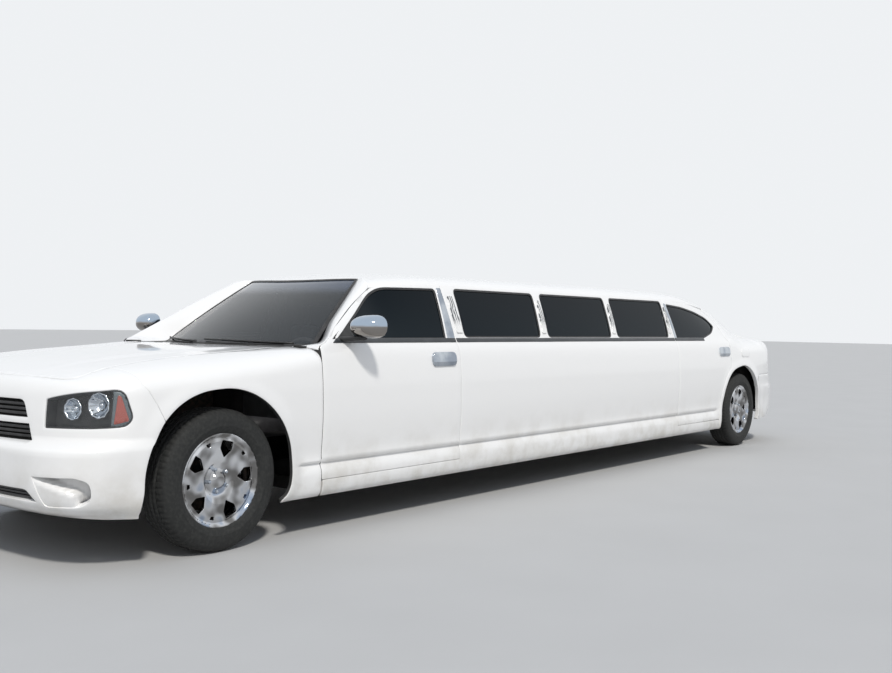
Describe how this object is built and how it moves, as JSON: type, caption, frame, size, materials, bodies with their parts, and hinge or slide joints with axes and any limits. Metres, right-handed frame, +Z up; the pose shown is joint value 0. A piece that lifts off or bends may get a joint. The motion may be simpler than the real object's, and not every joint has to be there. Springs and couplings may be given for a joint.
{
  "type": "stretch limousine",
  "caption": "Long-wheelbase stretch limousine on a full-size sedan: opening doors, bonnet and boot lid, steered front wheels and wheels that roll.",
  "frame": {"origin": "on the ground, under the middle of the car's length and width", "axes": "+X forward, +Y to the car's left, +Z up"},
  "size_m": [8.384, 2.265, 1.49],
  "materials": {
    "body_paint": "glossy white paint",
    "underbody": "black underbody coating",
    "clear_glass": "laminated windscreen with a darker band at the top",
    "tinted_glass": "near-black tinted glass",
    "iron": "as cast",
    "steel": "plain",
    "lamp_lens": "clear lens over bright reflectors",
    "red_lens": "red lens",
    "black_plastic": "fine grain",
    "opal_lens": "fluted lens",
    "grey_trim": "soft grain",
    "seat_leather": "stitched",
    "chrome": "polished",
    "tyre": "rubber"
  },
  "bodies": {
    "body": {"body_side_left": "body_paint", "body_side_right": "body_paint", "cabin_benches": "seat_leather", "dashboard": "grey_trim", "engine_block": "iron", "exhaust": "steel", "floor_pan": "underbody", "front_bumper": "body_paint", "front_seats": "seat_leather", "front_suspension": "underbody", "front_wing_left": "body_paint", "front_wing_right": "body_paint", "grilles": "black_plastic", "headlamps": "lamp_lens", "partition": "grey_trim", "pillar_lamps": "opal_lens", "propeller_shaft": "steel", "rear_axle": "iron", "rear_bumper": "body_paint", "rear_window": "tinted_glass", "roof_panel": "body_paint", "side_windows": "tinted_glass", "steering_wheel": "black_plastic", "tail_lamps": "red_lens", "windscreen": "clear_glass"},
    "bonnet": {"bonnet": "body_paint"},
    "boot_lid": {"boot_lid": "body_paint"},
    "knuckle_left": {"front_knuckle_left": "iron"},
    "wheel_front_left": {"tyre_front_left": "tyre", "rim_front_left": "chrome"},
    "wheel_rear_left": {"tyre_rear_left": "tyre", "rim_rear_left": "chrome"},
    "door_front_left": {"door_front_left": "body_paint", "door_glass_front_left": "tinted_glass", "mirror_left": "chrome"},
    "door_rear_left": {"door_rear_left": "body_paint", "door_glass_rear_left": "tinted_glass"},
    "knuckle_right": {"front_knuckle_right": "iron"},
    "wheel_front_right": {"tyre_front_right": "tyre", "rim_front_right": "chrome"},
    "wheel_rear_right": {"tyre_rear_right": "tyre", "rim_rear_right": "chrome"},
    "door_front_right": {"door_front_right": "body_paint", "door_glass_front_right": "tinted_glass", "mirror_right": "chrome"},
    "door_rear_right": {"door_rear_right": "body_paint", "door_glass_rear_right": "tinted_glass"}
  },
  "joints": [
    {"name": "steer_left", "type": "hinge", "parent": "body", "child": "knuckle_left", "pos_m": [3.322, 0.7, 0.3555], "axis": [0, 0, 1], "range_deg": [-33, 33]},
    {"name": "roll_front_left", "type": "hinge", "parent": "knuckle_left", "child": "wheel_front_left", "pos_m": [3.322, 0.8, 0.3555], "axis": [0, 1, 0], "continuous": true},
    {"name": "roll_rear_left", "type": "hinge", "parent": "body", "child": "wheel_rear_left", "pos_m": [-3.028, 0.8, 0.3555], "axis": [0, 1, 0], "continuous": true},
    {"name": "swing_front_left", "type": "hinge", "parent": "body", "child": "door_front_left", "pos_m": [2.684, 0.945, 0.64], "axis": [0, 0, -1], "range_deg": [0, 68]},
    {"name": "swing_rear_left", "type": "hinge", "parent": "body", "child": "door_rear_left", "pos_m": [-1.597, 0.945, 0.64], "axis": [0, 0, -1], "range_deg": [0, 65]},
    {"name": "steer_right", "type": "hinge", "parent": "body", "child": "knuckle_right", "pos_m": [3.322, -0.7, 0.3555], "axis": [0, 0, 1], "range_deg": [-33, 33]},
    {"name": "roll_front_right", "type": "hinge", "parent": "knuckle_right", "child": "wheel_front_right", "pos_m": [3.322, -0.8, 0.3555], "axis": [0, 1, 0], "continuous": true},
    {"name": "roll_rear_right", "type": "hinge", "parent": "body", "child": "wheel_rear_right", "pos_m": [-3.028, -0.8, 0.3555], "axis": [0, 1, 0], "continuous": true},
    {"name": "swing_front_right", "type": "hinge", "parent": "body", "child": "door_front_right", "pos_m": [2.684, -0.945, 0.64], "axis": [0, 0, 1], "range_deg": [0, 68]},
    {"name": "swing_rear_right", "type": "hinge", "parent": "body", "child": "door_rear_right", "pos_m": [-1.597, -0.945, 0.64], "axis": [0, 0, 1], "range_deg": [0, 65]},
    {"name": "bonnet_lift", "type": "hinge", "parent": "body", "child": "bonnet", "pos_m": [2.779, 0, 1.003], "axis": [0, -1, 0], "range_deg": [0, 50]},
    {"name": "boot_lift", "type": "hinge", "parent": "body", "child": "boot_lid", "pos_m": [-3.615, 0, 1.049], "axis": [0, 1, 0], "range_deg": [0, 75]}
  ],
  "couplings": [
    {"joint": "steer_right", "follows": "steer_left", "ratio": 1}
  ]
}
